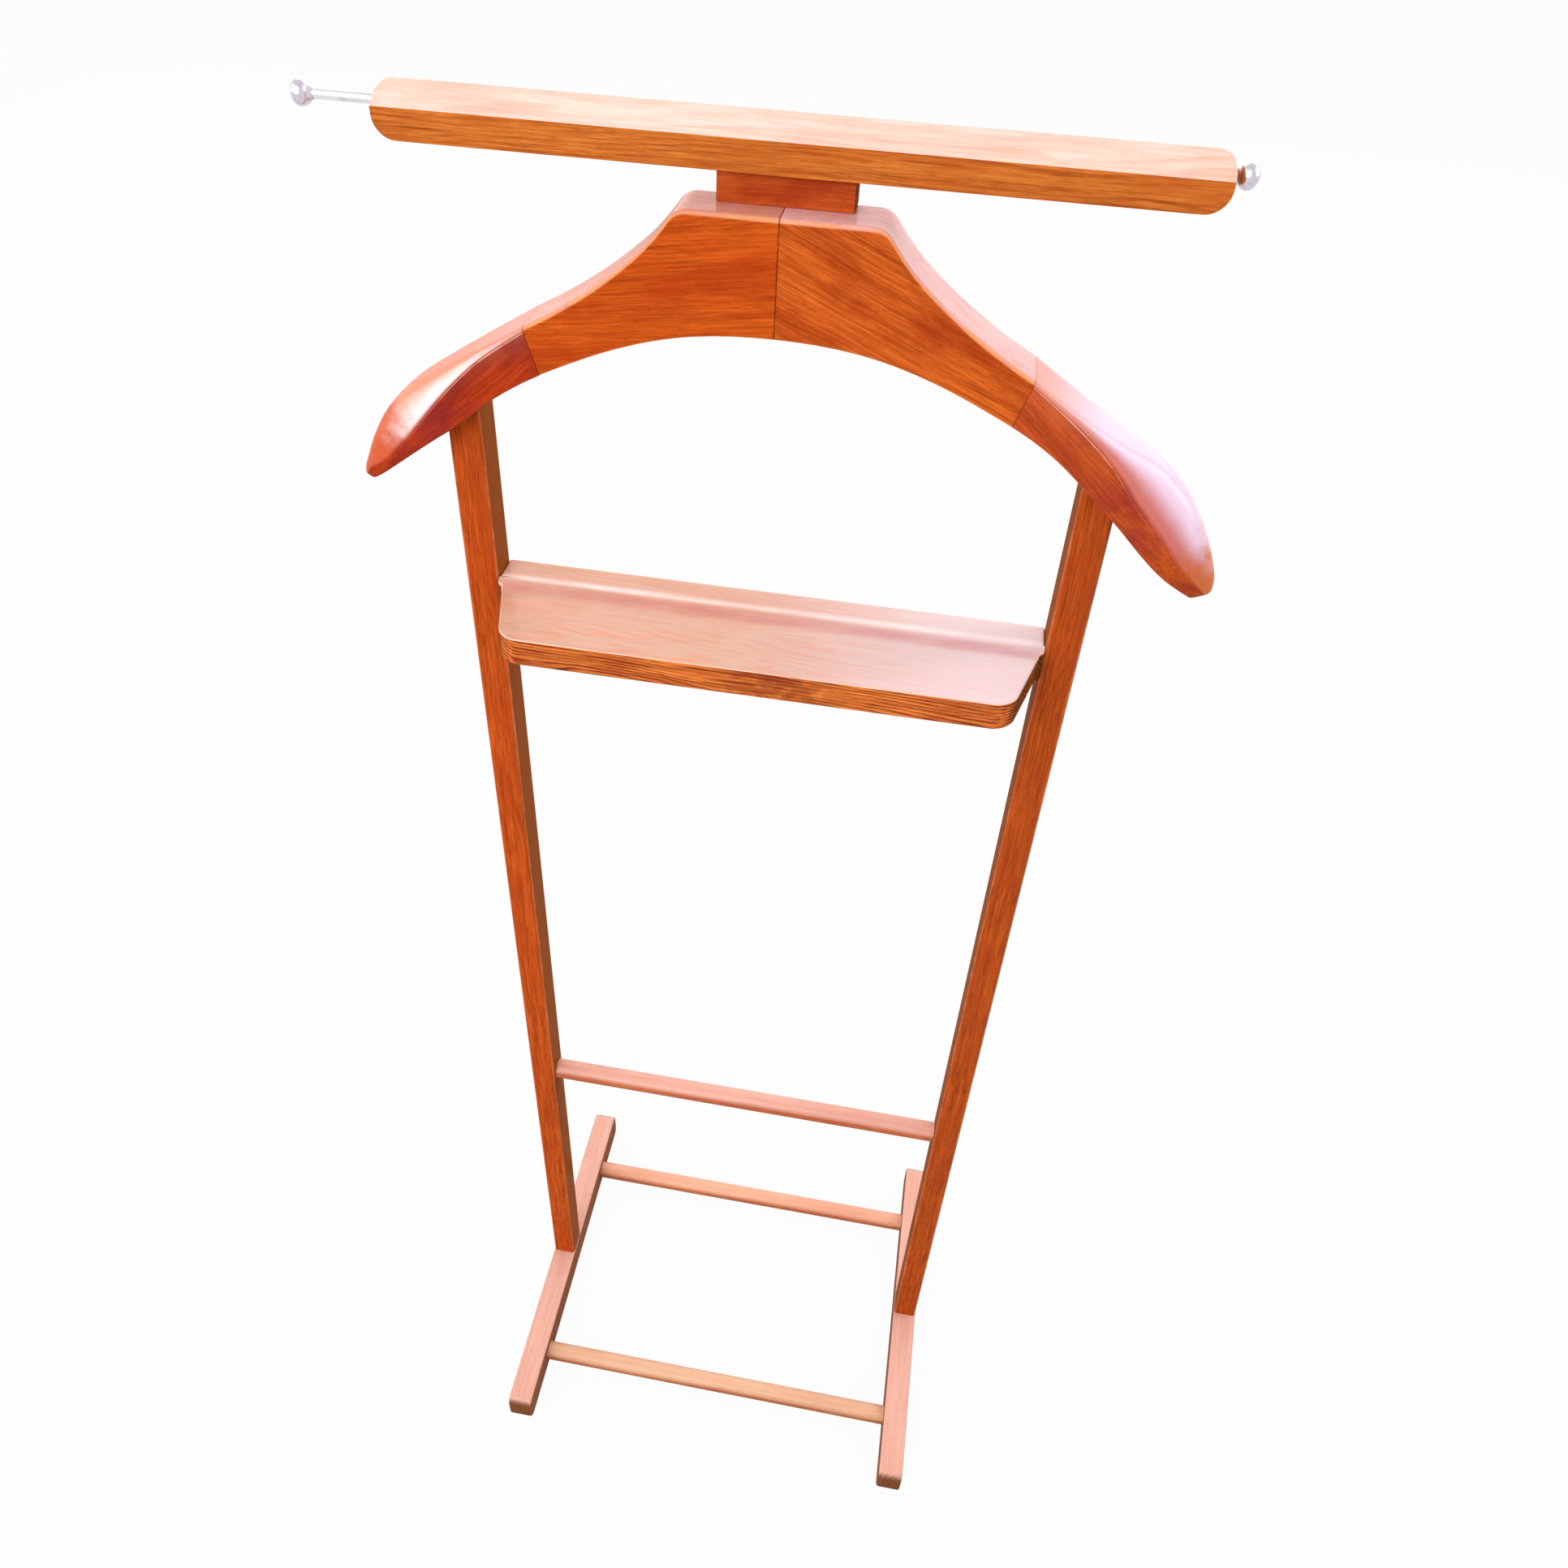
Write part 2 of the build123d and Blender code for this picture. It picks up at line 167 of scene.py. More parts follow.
class Tint:
    """A value that varies over a finish. Sums, products and powers of tints add Math nodes."""

    def __init__(self, socket):
        self.socket = socket

    def node(self, kind, settings=None, inputs=None, output=0):
        """Any other node of the same finish: its type, its settings, and the values or tints of its
        sockets."""
        tree = self.socket.id_data
        made = tree.nodes.new("ShaderNode" + kind)
        for name, value in (settings or {}).items():
            setattr(made, name, value)
        for name, value in (inputs or {}).items():
            if isinstance(value, Tint):
                tree.links.new(value.socket, made.inputs[name])
            else:
                made.inputs[name].default_value = value
        return Tint(made.outputs[output])

    def maths(self, operation, *values):
        return self.node("Math", {"operation": operation}, dict(enumerate(values)))

    def __add__(self, other):
        return self.maths("ADD", self, other)

    __radd__ = __add__

    def __sub__(self, other):
        return self.maths("SUBTRACT", self, other)

    def __rsub__(self, other):
        return self.maths("SUBTRACT", other, self)

    def __mul__(self, other):
        return self.maths("MULTIPLY", self, other)

    __rmul__ = __mul__

    def __truediv__(self, other):
        return self.maths("DIVIDE", self, other)

    def __pow__(self, other):
        return self.maths("POWER", self, other)

    def __abs__(self):
        return self.maths("ABSOLUTE", self)

    def fraction(self):
        return self.maths("FRACT", self)

    def between(self, low, high):
        """0 at the low value, 1 at the high one, and an eased slope from one to the other."""
        return self.node("MapRange", {"interpolation_type": "SMOOTHSTEP"},
                         {"Value": self, "From Min": low, "From Max": high})

    def mixed(self, first, second):
        """The first colour where this tint is 0, the second where it is 1."""
        return self.node("Mix", {"data_type": "RGBA"}, {0: self, 6: first, 7: second}, output=2)

    def parts(self):
        """The x, y and z of a place or a direction."""
        return [self.node("SeparateXYZ", {}, {"Vector": self}, output=axis) for axis in range(3)]


def start_finish(name):
    """A new material: the material, its shader, and the Object coordinates that its tints start from."""
    material = bpy.data.materials.new(name)
    material.use_nodes = True
    nodes = material.node_tree.nodes
    return material, nodes["Principled BSDF"], Tint(nodes.new("ShaderNodeTexCoord").outputs["Object"])


def lay_on(shader, **sockets):
    """Sets a shader's sockets, named with _ for a space, to values or tints."""
    for name, value in sockets.items():
        socket = shader.inputs[name.replace("_", " ")]
        if isinstance(value, Tint):
            shader.id_data.links.new(value.socket, socket)
        else:
            socket.default_value = value


def stain(red, green, blue):
    """A colour as a paint chart gives it, 0 to 255, as the shader takes it."""
    shares = [channel / 255 for channel in (red, green, blue)]
    return [share / 12.92 if share <= 0.04045 else ((share + 0.055) / 1.055) ** 2.4
            for share in shares] + [1]


def figure(place, size, detail=3.0, rough=0.6):
    """Cloudy noise with patches of about this size along, across and through the grain."""
    stretched = place.node("VectorMath", {"operation": "DIVIDE"}, {0: place, 1: size})
    return stretched.node("TexNoise", {}, {"Vector": stretched, "Scale": 1, "Detail": detail,
                                           "Roughness": rough})


def stained_wood(name, middle, turn, ground, vein, patch, sheen_and_wear_tone, pith=(60, 45), ring_gap=3.2, slant=0.0,
                 rings=0.3, fibres=0.6, patching=0.5, top_sheen=0.85, gloss=0.4, end=(92, 48, 22), rub_and_highlight=0.5,
                 painted_side_shade=None):
    """Stained and lacquered wood. Turned, its grain runs along x, in millimetres from the middle, round a
    pith that lies (y, z) away and leans by the slant, with year rings a gap apart. Faces that look up get a
    pale painted reflection, end grain is dark, eased edges are rubbed pale with a painted highlight, and
    faces that look sideways can be given painted shade."""
    material, shader, spot = start_finish(name)
    ground, vein, patch, sheen_and_wear_tone, end = [stain(*tone) for tone in (ground, vein, patch, sheen_and_wear_tone, end)]
    bright = [min(1.0, share * 1.25) for share in ground]
    turn = [radians(angle) for angle in turn]
    place = spot.node("Mapping", {"vector_type": "TEXTURE"},
                      {"Vector": spot, "Location": middle, "Rotation": turn, "Scale": (mm, mm, mm)})
    along, across, through = place.parts()

    sway = figure(place, (260, 60, 60), 2) * sway_width - sway_width / 2
    aside = across - pith[0] + sway
    below = through - pith[1] + along * slant
    radius = (aside * aside + below * below) ** 0.5
    year = (radius / ring_gap + figure(place, (90, 7, 7), 4) * 1.8).fraction()
    late_wood = year.between(0.3, 0.86) * (1 - year.between(0.88, 1.0))
    late_wood = late_wood * figure(place, (60, 12, 12), 3).between(0.3, 0.6)
    fibre = figure(place, (26, 0.75, 0.75), 4, 0.75).between(0.4, 0.62)
    streak = figure(place, (110, 2.6, 2.6), 4).between(0.38, 0.66)
    pore = figure(place, (7, 0.45, 0.45), 2).between(0.6, 0.72)
    cloud = figure(place, (60, 22, 22), 5, 0.66).between(0.42, 0.66)
    mottle = figure(place, (17, 7, 7), 4, 0.7).between(0.4, 0.7)

    normal = spot.node("NewGeometry", output="Normal")
    sideways, forwards, upwards = normal.parts()
    up = upwards.between(0.2, 0.65)
    run = Vector((1, 0, 0))
    run.rotate(Matrix.Rotation(turn[2], 3, "Z") @ Matrix.Rotation(turn[1], 3, "Y"))
    facing = abs(normal.node("VectorMath", {"operation": "DOT_PRODUCT"}, {0: normal, 1: run},
                             output="Value"))
    end_grain = facing.between(0.5, 0.9)

    lines = late_wood * (0.75 * rings) + fibre * (0.5 * fibres) + streak * (0.34 * fibres)
    colour = (mottle * 0.45).mixed(ground, bright)
    colour = lines.mixed(colour, vein)
    colour = (cloud * patching).mixed(colour, patch)
    colour = (pore * (0.6 * fibres)).mixed(colour, vein)
    # Faces that look left or right are darkened toward this tone: painted shade.
    if painted_side_shade:
        colour = (abs(sideways).between(0.6, 0.95) * 0.85).mixed(colour, stain(*painted_side_shade))
    # Faces that look up are mixed toward the pale tone: a painted reflection of a bright sky.
    pale = (lines * 0.42 + pore * 0.1).mixed(sheen_and_wear_tone, ground)
    colour = (up * (top_sheen - 0.25 * cloud * patching)).mixed(colour, pale)
    colour = (end_grain * (0.7 + 0.3 * late_wood)).mixed(colour, end)
    # Eased edges are mixed toward the pale tone: partly wear, partly a painted highlight on the rounding.
    if rub_and_highlight:
        flattest = abs(sideways).maths("MAXIMUM", abs(sideways), abs(forwards))
        flattest = flattest.maths("MAXIMUM", flattest, abs(upwards))
        rubbed_and_highlit = (1 - flattest).between(0.03, 0.2) * (1 - facing.between(0.15, 0.45))
        colour = (rubbed_and_highlit * (0.35 + 0.65 * mottle) * rub_and_highlight).mixed(colour, sheen_and_wear_tone)

    relief = 1 - (fibre * 0.4 + pore * 0.6 + late_wood * (0.4 * rings))
    bump = relief.node("Bump", {}, {"Height": relief, "Strength": grain_strength,
                                    "Distance": grain_depth})
    lay_on(shader, Base_Color=colour, Roughness=matt_roughness + 0.16 * fibre + 0.12 * cloud,
           Normal=bump, Coat_Weight=lacquer_coat + gloss * up, Coat_Roughness=lacquer_roughness,
           Coat_IOR=lacquer_ior, Specular_IOR_Level=0.0)
    return material


for side in ("left", "right"):
    foot = f"{side}_foot"
    foot_low, foot_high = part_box(foot)
    foot_middle = (foot_low + foot_high) / 2
    inward = 1 if side == "left" else -1
    inner_face = foot_high.x if side == "left" else foot_low.x
    post_low, post_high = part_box(f"{side}_upright")
    post_middle = (post_low + post_high) / 2
    blank(foot_low, foot_high)
    pick("EDGE", lambda middle, run: abs(run.x) > 0.9)
    ease(foot_end_radius, foot_end_steps)
    ease_sharp(foot_edge_radius, sharpness=square_angle)
    piece = off_the_bench()
    for rail in ("front_foot_rail", "rear_foot_rail"):
        rail_y = sum(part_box(rail), Vector()).y / 2
        bore(piece, (inner_face + inward * mm, rail_y, foot_middle.z),
             (inner_face - inward * rail_tenon_length, rail_y, foot_middle.z), rail_tenon_diameter)
    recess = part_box("foot_screws")[0].z
    bore(piece, (foot_middle.x, post_middle.y, -mm), (foot_middle.x, post_middle.y, recess),
         foot_screw_head)
    tenon = Vector((post_tenon_width, post_tenon_depth, 0)) / 2
    at_tenon = Vector((post_middle.x, post_middle.y, foot_high.z))
    blank(at_tenon - tenon - Vector((0, 0, post_tenon_length)), at_tenon + tenon + Vector((0, 0, mm)))
    combine(piece, off_the_bench())
    finish = stained_wood(
        f"{side}_foot_stain", foot_middle, (0, 0, 90), ground=(178, 92, 52), vein=(120, 56, 28),
        patch=(196, 112, 70), sheen_and_wear_tone=(226, 176, 160), pith=(50 * inward, -70), ring_gap=2.6,
        end=(104, 62, 30), painted_side_shade=(128, 76, 48))
    fit(piece, foot, finish)


# The two foot rails: round beech bars turned down to a tenon at each end and glued into the feet. They are
# stained like the feet, with a pale reflection painted along the top.
tenon_easing = 0.6 * mm


def turned_rail(name, face_x):
    """A round rail with its two tenons, between two inner faces at plus and minus x."""
    low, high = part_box(name)
    middle = (low + high) / 2
    diameter = high.z - low.z
    dowel((-face_x, middle.y, middle.z), (face_x, middle.y, middle.z), diameter)
    pick("FACE", lambda spot, normal: abs(normal.x) > 0.9)
    bpy.ops.mesh.inset(thickness=(diameter - rail_tenon_diameter) / 2, use_individual=True)
    for way in (-1, 1):
        pick("FACE", lambda spot, normal: normal.x * way > 0.9 and spot.x * way > face_x - mm
             and hypot(spot.y - middle.y, spot.z - middle.z) < mm)
        bpy.ops.mesh.extrude_region_move(TRANSFORM_OT_translate={"value": (way * rail_tenon_length, 0, 0)})
        ease(tenon_easing, 1)
    return off_the_bench(), middle


# Each rail's tones are its ground, its veins, its patches and the painted reflection on its upper side.
for rail, tones in (("front_foot_rail", ((196, 124, 76), (132, 70, 34), (170, 88, 52), (222, 176, 146))),
                    ("rear_foot_rail", ((202, 120, 78), (140, 70, 40), (180, 92, 60), (232, 172, 142)))):
    piece, middle = turned_rail(rail, -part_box("left_foot")[1].x)
    ground, vein, patch, sheen_and_wear_tone = tones
    finish = stained_wood(f"{rail}_stain", middle, (0, 0, 0), ground, vein, patch, sheen_and_wear_tone, pith=(18, -26),
                          ring_gap=2.2, rub_and_highlight=0)
    fit(piece, rail, finish)


# The two uprights: slim posts with rounded edges, straight-grained, tenoned into the feet and cut at the
# top to the curve of the hanger's underside. Stained a strong orange brown, with painted shade on both
# sides.
post_edge_radius = 2.5 * mm
post_edge_steps = 5
tray_screw_head = 7 * mm
arch = [(0, 1004.7), (52, 999.5), (102, 981.5), (143, 958.5)]
hanger_underside = {
    "left": arch + [(171, 936.2), (178, 931.3), (192, 920.8), (207, 908.6), (221, 896.6), (236, 885)],
    "right": arch + [(171, 933.8), (178, 927.4), (195, 910), (208, 896.8), (219, 886.6), (236, 872.5)]}
underside_end_slope = -0.8


def curve_height(points, x, first_slope, last_slope):
    """The height at x of a smooth curve through (x, z) points, with these slopes at its two ends."""
    gaps = [(b[0] - a[0], (b[1] - a[1]) / (b[0] - a[0])) for a, b in zip(points, points[1:])]
    slopes = [(before[1] * after[0] + after[1] * before[0]) / (before[0] + after[0])
              for before, after in zip(gaps, gaps[1:])]
    slopes = [first_slope, *slopes, last_slope]
    step = max(i for i, point in enumerate(points[:-1]) if i == 0 or point[0] <= x)
    width = gaps[step][0]
    t = (x - points[step][0]) / width
    return ((1 + 2 * t) * (1 - t) ** 2 * points[step][1] + t * (1 - t) ** 2 * width * slopes[step]
            + t * t * (3 - 2 * t) * points[step + 1][1] + t * t * (t - 1) * width * slopes[step + 1])


def underside(side, x):
    """Height in millimetres of the hanger's underside on one side, x millimetres from the middle."""
    return curve_height(hanger_underside[side], abs(x), 0.0, underside_end_slope)


def saw(through, outward):
    """Saws off what lies outward of a plane and closes the cut."""
    bpy.ops.mesh.select_all(action="SELECT")
    bpy.ops.mesh.bisect(plane_co=through, plane_no=outward, clear_outer=True, use_fill=True)


# Each post's tones are its ground, its veins and its patches.
for side, tones in (("left", ((212, 92, 30), (122, 40, 10), (170, 60, 16))),
                    ("right", ((198, 88, 30), (120, 42, 12), (166, 64, 24)))):
    post = f"{side}_upright"
    post_low, post_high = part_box(post)
    foot_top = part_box(f"{side}_foot")[1].z
    outward = -1 if side == "left" else 1
    post_middle = (post_low + post_high) / 2
    inner_x, outer_x = sorted((post_low.x, post_high.x), key=abs)
    at_inner = Vector((inner_x, 0, underside(side, inner_x / mm) * mm))
    at_outer = Vector((outer_x, 0, underside(side, outer_x / mm) * mm))
    slope = at_outer - at_inner
    blank((post_low.x, post_low.y, foot_top), (post_high.x, post_high.y, post_high.z + post_edge_radius))
    saw(at_inner, (-slope.z * outward, 0, slope.x * outward))
    pick("EDGE", lambda middle, run: abs(run.z) > 0.98)
    ease(post_edge_radius, post_edge_steps)
    pick("FACE", lambda middle, normal: normal.z < -0.9)
    bpy.ops.mesh.inset(thickness=(post_high.x - post_low.x - post_tenon_width) / 2)
    bpy.ops.mesh.extrude_region_move(TRANSFORM_OT_translate={"value": (0, 0, -post_tenon_length)})
    piece = off_the_bench()
    rail_middle = sum(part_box("cross_rail"), Vector()) / 2
    bore(piece, (inner_x - outward * mm, rail_middle.y, rail_middle.z),
         (inner_x + outward * rail_tenon_length, rail_middle.y, rail_middle.z), rail_tenon_diameter)
    screws_low, screws_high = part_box("tray_screws")
    screw_z = (screws_low.z + screws_high.z) / 2
    head_radius = tray_screw_head / 2
    for screw_y in (screws_low.y + head_radius, screws_high.y - head_radius):
        bore(piece, (outer_x, screw_y, screw_z), (outer_x - outward * head_radius, screw_y, screw_z),
             tray_screw_head, 0)
    ground, vein, patch = tones
    finish = stained_wood(
        f"{side}_upright_stain", post_middle, (0, -90, 0), ground, vein, patch, sheen_and_wear_tone=(216, 138, 100),
        pith=(90 * outward, 60), ring_gap=3.0, rings=0.25, fibres=0.9, gloss=0.2, painted_side_shade=(128, 70, 24))
    fit(piece, post, finish)


# The cross rail: a round beech bar like the foot rails, glued between the uprights a third of the way up.
# It holds the posts apart, and a dusty pink reflection is painted on its upper side.
piece, middle = turned_rail("cross_rail", -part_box("left_upright")[1].x)
finish = stained_wood("cross_rail_stain", middle, (0, 0, 0), ground=(200, 112, 72), vein=(140, 66, 38),
                      patch=(178, 88, 58), sheen_and_wear_tone=(230, 174, 158), pith=(-20, -30), ring_gap=2.4, rub_and_highlight=0)
fit(piece, "cross_rail", finish)


# The tray: a board of coarse-grained wood between the uprights, held by two screws at each end. A ledge is
# left along its back, with a cove down to the flat floor, and its ends taper to round front corners. It has
# a painted reflection at the right, painted shade in the cove and painted highlights on its rims, and a
# knot in its front edge.
tray_ledge_depth = 19 * mm
tray_cove_depth = 11 * mm
tray_ledge_rise = 4 * mm
cove_steps = 10
tray_front_half_width = 144.5 * mm
tray_full_width_y = -2 * mm
tray_corner_radius = 14 * mm
tray_corner_steps = 14
tray_easing = 1.4 * mm
tray_easing_steps = 4
tray_lengths = 16
knot_x = 16 * mm
knot_half_widths = (12 * mm, 50 * mm)
# The painted reflection on the tray's floor grows between these two places, toward the right end.
reflection_from, reflection_to = -40 * mm, 140 * mm


def score(through, across):
    """Marks a line of edges where a plane crosses the piece."""
    bpy.ops.mesh.select_all(action="SELECT")
    bpy.ops.mesh.bisect(plane_co=through, plane_no=across)


tray_low, tray_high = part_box("tray")
floor_z = tray_high.z - tray_ledge_rise
ledge_front = tray_high.y - tray_ledge_depth
cove_front = ledge_front - tray_cove_depth
blank(tray_low, (tray_high.x, tray_high.y, floor_z))
cove_shares = [step / cove_steps for step in range(cove_steps + 1)]
for share in cove_shares:
    score((0, cove_front + share * tray_cove_depth, 0), (0, 1, 0))
for share in cove_shares:
    line_y = cove_front + share * tray_cove_depth
    pick("VERT", lambda corner, normal: corner.z > floor_z - mm
         and (abs(corner.y - line_y) < mm / 10 or share == 1 and corner.y > line_y))
    bpy.ops.transform.translate(value=(0, 0, tray_ledge_rise * share * share * (3 - 2 * share)))
taper = Vector((tray_high.x - tray_front_half_width, tray_full_width_y - tray_low.y, 0))
for way in (-1, 1):
    saw((way * tray_high.x, tray_full_width_y, floor_z), (way * taper.y, -taper.x, 0))
corner_half_angle = (pi / 2 + asin(taper.x / taper.length)) / 2
pick("EDGE", lambda middle, run: abs(run.z) > 0.9 and middle.y < tray_low.y + mm)
ease(tray_corner_radius / tan(corner_half_angle), tray_corner_steps)
ease_sharp(tray_easing, tray_easing_steps)
for step in range(1, tray_lengths):
    score((tray_low.x + (tray_high.x - tray_low.x) * step / tray_lengths, 0, 0), (1, 0, 0))
piece = off_the_bench()
finish = stained_wood(
    "tray_stain", (tray_low + tray_high) / 2, (0, 0, 0), ground=(246, 136, 62), vein=(122, 46, 22),
    patch=(150, 52, 26), sheen_and_wear_tone=(206, 173, 157), pith=(-30, -16), ring_gap=2.2, slant=0.05, rings=1.0,
    fibres=0.8, top_sheen=0.92, end=(76, 40, 14), rub_and_highlight=0.8)
tray_shader = finish.node_tree.nodes["Principled BSDF"]
stained = Tint(tray_shader.inputs["Base Color"].links[0].from_socket)
tray_spot = stained.node("TexCoord", output="Object")
tray_x, tray_y, _ = tray_spot.parts()
back_way = (tray_y - cove_front) / tray_cove_depth
_, forwards, upwards = stained.node("NewGeometry", output="Normal").parts()
level = upwards.between(0.5, 0.9)
tray_patchiness = 0.5 + 0.5 * figure(tray_spot, (0.05, 0.01, 0.01), 3).between(0.35, 0.65)
# Painted light: shade in the cove, highlights on the ledge's lip and front rim, reflection at the right.
cove_shade = back_way.between(-0.1, 0.35) * (1 - back_way.between(0.5, 0.85)) * level * tray_patchiness
lip = back_way.between(0.72, 1.0) * (1 - back_way.between(1.02, 1.5)) * level * tray_patchiness
rim = upwards.between(0.3, 0.55) * (1 - upwards.between(0.76, 0.85)) * (1 - forwards.between(-0.5, -0.2))
right_reflection = tray_x.between(reflection_from, reflection_to) * level
grain = figure(tray_spot, (0.05, 0.0012, 0.0012), 4, 0.7).between(0.44, 0.66) * level * (1 - right_reflection)
knotty = 1 - abs(tray_x - knot_x).between(*knot_half_widths)
knotty = knotty * (1 - forwards.between(-0.9, -0.6))
knotty = knotty * figure(tray_spot, (0.012, 0.01, 0.005), 4).between(0.35, 0.55)
colour = (right_reflection * 0.6).mixed(stained, stain(232, 218, 228))
colour = (grain * tray_patchiness * 0.45).mixed(colour, stain(196, 124, 84))
colour = (knotty * 0.6).mixed(colour, stain(124, 46, 26))
colour = (cove_shade * 0.6).mixed(colour, stain(198, 120, 122))
colour = (lip * 0.75).mixed(colour, stain(252, 228, 226))
colour = (rim * tray_patchiness * 0.8).mixed(colour, stain(244, 206, 182))
lay_on(tray_shader, Base_Color=colour)
fit(piece, "tray", finish)


# The hanger's two centre pieces: flat beech boards butted in the middle on two dowels, band-sawn to the
# arch below and the shoulder above, with rounded upper edges. Their grain runs at different slants, so the
# glue line between them shows as a dark line; their edges are rubbed pale with a painted highlight, and
# their tops carry a painted reflection.
shoulder_top = 1061.5
shoulder_end = (43.0, 53.0, 1055.5)
shoulder_slope = [(53, 1055.5), (61, 1045.5), (77, 1030.5), (102, 1012), (126.5, 997.5)]
shoulder_start_slope = -1.35
shoulder_end_slope = -0.56
arm_joint_bottom_x = 119.0
arm_joint_top_x = 126.5
centre_stations = 14
shoulder_stations = 10
level_stations = 4
upper_edge_radius = 2.5
lower_edge_radius = 0.8
corner_points = 6
glue_groove = 0.2
arm_groove = 0.1
glue_line = 0.8
glue_tone = (88, 30, 10)


def shoulder(x):
    """Height of the hanger's upper edge: level by the neck block, round the corner, then a hollow slope."""
    level_end, round_end, round_end_z = shoulder_end
    if x <= level_end:
        return shoulder_top
    if x <= round_end:
        reach, drop = round_end - level_end, shoulder_top - round_end_z
        round_radius = (reach * reach + drop * drop) / (2 * drop)
        return shoulder_top - round_radius + sqrt(round_radius ** 2 - (x - level_end) ** 2)
    return curve_height(shoulder_slope, x, shoulder_start_slope, shoulder_end_slope)


def quarter(corner, first, second, radius):
    """Points round a corner, from the side that lies along first to the side that lies along second."""
    middle = corner + (first + second) * radius
    turns = [pi / 2 * step / (corner_points - 1) for step in range(corner_points)]
    return [middle - second * radius * cos(turn) - first * radius * sin(turn) for turn in turns]


def board_ring(bottom_x, top_x, shrink=0.0):
    """One slice across a centre piece, from the underside to the upper edge, in millimetres."""
    front, back = hanger_front + shrink, hanger_back - shrink
    low = Vector((bottom_x, 0, underside("right", bottom_x)))
    high = Vector((top_x, 0, shoulder(top_x)))
    rise = (high - low).normalized()
    low, high = low + rise * shrink, high - rise * shrink
    deep = Vector((0, 1, 0))
    return (quarter(low + deep * front, rise, deep, lower_edge_radius)
            + quarter(low + deep * back, -deep, rise, lower_edge_radius)
            + quarter(high + deep * back, -rise, -deep, upper_edge_radius)
            + quarter(high + deep * front, deep, -rise, upper_edge_radius))


def centre_ring(x, shrink=0.0):
    """The slice whose upper end is at x, leaning more and more toward the slant of the arm's joint."""
    return board_ring(x * arm_joint_bottom_x / arm_joint_top_x, x, shrink)


def draw_out(rings, way, marks):
    """A piece drawn out through rings of points in millimetres, on the right (1) or the left (-1) of the
    stand. The marks are numbers for each point of each ring, which the finish reads by their name."""
    bpy.ops.object.select_all(action="DESELECT")
    bpy.ops.mesh.primitive_circle_add(vertices=len(rings[0]), fill_type="NGON")
    bpy.ops.object.mode_set(mode="EDIT")
    mesh = bpy.context.object.data
    for number, ring in enumerate(rings):
        if number:
            bpy.ops.mesh.extrude_region_move()
        shape = bmesh.from_edit_mesh(mesh)
        layers = shape.verts.layers
        if not number:
            layers.int.new("order")
            for mark in marks:
                layers.float.new(mark)
            for index, corner in enumerate(shape.verts):
                corner[layers.int["order"]] = index
        for corner in shape.verts:
            if corner.select:
                index = corner[layers.int["order"]]
                corner.co = Vector((ring[index].x * way, ring[index].y, ring[index].z)) * mm
                for mark, rows in marks.items():
                    corner[layers.float[mark]] = rows[number][index]
        bmesh.update_edit_mesh(mesh)
    bpy.ops.mesh.select_all(action="SELECT")
    bpy.ops.mesh.normals_make_consistent(inside=False)
    piece = off_the_bench()
    mesh.attributes.remove(mesh.attributes["order"])
    return piece


def glued_rubbed_and_highlit(material, sheen_and_wear_tone):
    """Lays a dark glue line, and pale edges that are worn and carry a painted highlight, over a stain,
    where the piece is marked for them.
    """
    shader = material.node_tree.nodes["Principled BSDF"]
    stained = Tint(shader.inputs["Base Color"].links[0].from_socket)
    spot = stained.node("TexCoord", output="Object")
    seam = stained.node("Attribute", {"attribute_name": "seam"}, output="Fac")
    edge = stained.node("Attribute", {"attribute_name": "edge"}, output="Fac")
    patchy = figure(spot, (0.012, 0.012, 0.012), 3).between(0.3, 0.65)
    # Marked edges are mixed toward the pale tone: wear and a painted highlight.
    colour = (edge.between(0.1, 0.9) * (0.3 + 0.6 * patchy)).mixed(stained, stain(*sheen_and_wear_tone))
    colour = (seam.between(0.3, 1.0) * (0.15 + 0.4 * patchy)).mixed(colour, stain(*glue_tone))
    lay_on(shader, Base_Color=colour)
    return shader


hanger_low, hanger_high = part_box("hanger_centre_right")
hanger_front, hanger_back = hanger_low.y / mm, hanger_high.y / mm
level_end, round_end, _ = shoulder_end
top_places = [level_end * step / level_stations for step in range(level_stations + 1)]
top_places += [level_end + (round_end - level_end) * step / shoulder_stations
               for step in range(1, shoulder_stations + 1)]
top_places += [round_end + (arm_joint_top_x - round_end) * step / centre_stations
               for step in range(1, centre_stations + 1)]
centre_rings = [board_ring(0, 0, glue_groove), centre_ring(glue_groove), centre_ring(glue_line)]
centre_rings += [centre_ring(x) for x in top_places[1:-1]]
centre_rings += [centre_ring(arm_joint_top_x - glue_line), centre_ring(arm_joint_top_x - arm_groove),
                 centre_ring(arm_joint_top_x, arm_groove)]
over_corner = [sin(pi * step / (corner_points - 1)) for step in range(corner_points)]
centre_marks = {
    "edge": [over_corner + [0] * corner_points + over_corner + over_corner for ring in centre_rings],
    "seam": [[1.0 if number < 2 or number > len(centre_rings) - 3 else 0.0] * len(ring)
             for number, ring in enumerate(centre_rings)]}
neck_screw_head = 8.5 * mm
neck_screw_reach = 10 * mm

